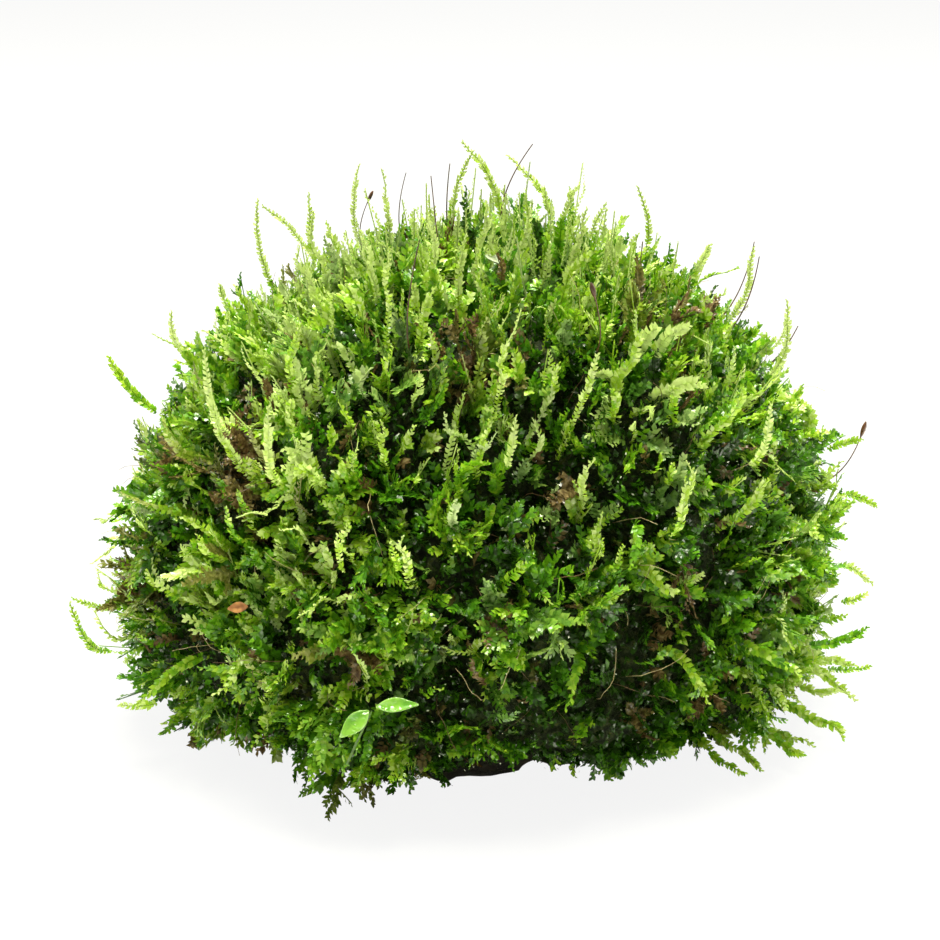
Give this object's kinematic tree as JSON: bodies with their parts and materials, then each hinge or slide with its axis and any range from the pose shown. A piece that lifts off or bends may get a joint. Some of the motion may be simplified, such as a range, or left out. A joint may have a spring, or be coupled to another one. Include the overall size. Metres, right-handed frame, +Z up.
{
  "type": "java moss",
  "caption": "Mound of wet java moss grown over a dark stone, with pale upright shoots, wiry spore stalks and a seedling low at the front.",
  "frame": {"origin": "middle of the stone's flat underside, on the ground", "axes": "+Z up through the crown; the side with the seedling and the bare foot of the stone faces -Y; +X to the right as seen from there"},
  "size_m": [0.1279, 0.1235, 0.0882],
  "materials": {
    "moss_green": "wet leaves, satin",
    "shoot_green": "thin leaves that let light through, satin",
    "seedling_green": "smooth glossy leaf",
    "stalk_brown": "wiry, satin",
    "dark_stone": "rough and wet",
    "dead_leaf_brown": "dry, matt",
    "dead_leaf_grey": "limp, satin",
    "husk_tan": "papery, matt"
  },
  "bodies": {
    "root": {"stone": "dark_stone", "moss_cushion": "moss_green", "shoot_01": "shoot_green", "shoot_02": "shoot_green", "shoot_03": "shoot_green", "shoot_04": "shoot_green", "shoot_05": "shoot_green", "shoot_06": "shoot_green", "shoot_07": "shoot_green", "shoot_08": "shoot_green", "shoot_09": "shoot_green", "shoot_10": "shoot_green", "shoot_11": "shoot_green", "shoot_12": "shoot_green", "shoot_13": "shoot_green", "shoot_14": "shoot_green", "shoot_15": "shoot_green", "shoot_16": "shoot_green", "shoot_17": "shoot_green", "shoot_18": "shoot_green", "shoot_19": "shoot_green", "shoot_20": "shoot_green", "shoot_21": "shoot_green", "shoot_22": "shoot_green", "shoot_23": "shoot_green", "shoot_24": "shoot_green", "shoot_25": "shoot_green", "shoot_26": "shoot_green", "shoot_27": "shoot_green", "shoot_28": "shoot_green", "shoot_29": "shoot_green", "shoot_30": "shoot_green", "shoot_31": "shoot_green", "shoot_32": "shoot_green", "shoot_33": "shoot_green", "shoot_34": "shoot_green", "shoot_35": "shoot_green", "shoot_36": "shoot_green", "shoot_37": "shoot_green", "shoot_38": "shoot_green", "spore_stalk_01": "stalk_brown", "spore_stalk_02": "stalk_brown", "spore_stalk_03": "stalk_brown", "spore_stalk_04": "stalk_brown", "spore_stalk_05": "stalk_brown", "spore_stalk_06": "stalk_brown", "spore_stalk_07": "stalk_brown", "spore_stalk_08": "stalk_brown", "spore_stalk_09": "stalk_brown", "spore_stalk_10": "stalk_brown", "spore_stalk_11": "stalk_brown", "spore_stalk_12": "stalk_brown", "seedling_stem": "seedling_green", "seedling_leaf_left": "seedling_green", "seedling_leaf_right": "seedling_green", "brown_leaf_scrap": "dead_leaf_brown", "grey_leaf_scrap": "dead_leaf_grey", "tan_husk": "husk_tan"}
  },
  "joints": []
}
